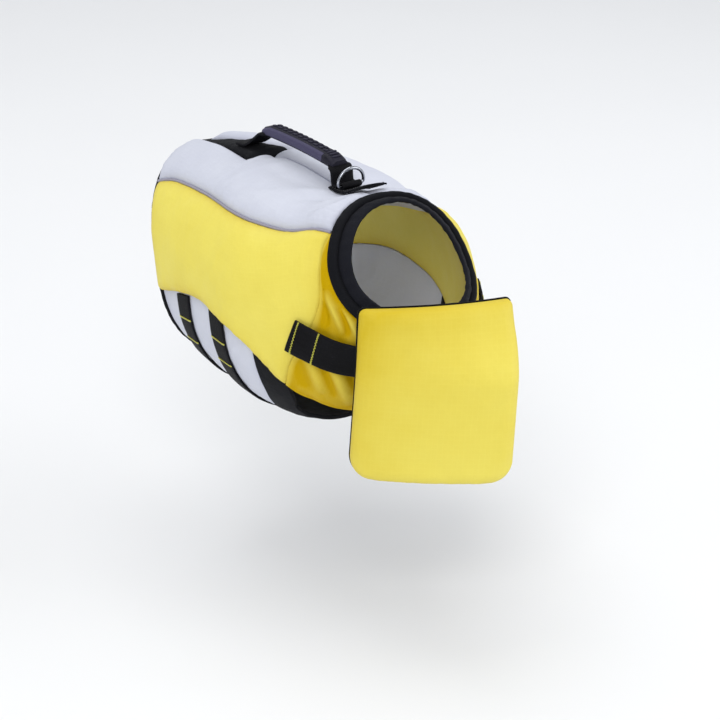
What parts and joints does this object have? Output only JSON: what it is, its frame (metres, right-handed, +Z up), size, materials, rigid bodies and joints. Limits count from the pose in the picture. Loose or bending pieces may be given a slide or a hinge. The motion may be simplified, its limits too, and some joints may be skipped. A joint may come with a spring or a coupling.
{
  "type": "dog life jacket",
  "caption": "Padded dog life jacket in worn form with nobody in it: foam back and flanks, chin float, grab handle, D-ring and belly webbing.",
  "frame": {"origin": "on the inner face of the back, on the spine at mid length, where the wearer's back carries the garment", "axes": "+Z up, -Y towards the neck opening, +X towards the wearer's left flank"},
  "size_m": [0.2045, 0.3881, 0.2171],
  "materials": {
    "pale_cloth": "pale grey-blue coated woven cloth over foam",
    "yellow_cloth": "yellow woven cloth over foam",
    "deep_yellow_cloth": "yellow woven cloth, soft panel",
    "black_cloth": "black cloth and binding, matt",
    "webbing": "black woven webbing, matt",
    "piping": "grey covered cord",
    "grip_rubber": "moulded, satin",
    "ring_steel": "plated steel wire"
  },
  "bodies": {
    "root": {"back_panel_left": "pale_cloth", "back_panel_right": "pale_cloth", "side_panel_left": "yellow_cloth", "side_panel_right": "yellow_cloth", "chest_panel_left": "deep_yellow_cloth", "chest_panel_right": "deep_yellow_cloth", "belly_panel_left": "pale_cloth", "belly_panel_right": "pale_cloth", "belly_gusset_left": "black_cloth", "belly_gusset_right": "black_cloth", "piping_left": "piping", "piping_right": "piping", "back_patch": "black_cloth", "belly_centre": "black_cloth", "hem_binding": "black_cloth", "neck_rim": "black_cloth", "neck_band": "webbing", "belly_strap_rear": "webbing", "belly_strap_front": "webbing", "chest_strap": "webbing", "chin_float": "yellow_cloth", "chin_float_backing": "black_cloth", "handle_base": "black_cloth", "handle_webbing": "webbing", "handle_grip": "grip_rubber", "dring_loop": "webbing"},
    "d_ring": {"dring": "ring_steel"}
  },
  "joints": [
    {"name": "dring_swing", "type": "hinge", "parent": "root", "child": "d_ring", "pos_m": [0, -0.062, 0.0132], "axis": [1, 0, 0], "range_deg": [-15, 55]}
  ]
}
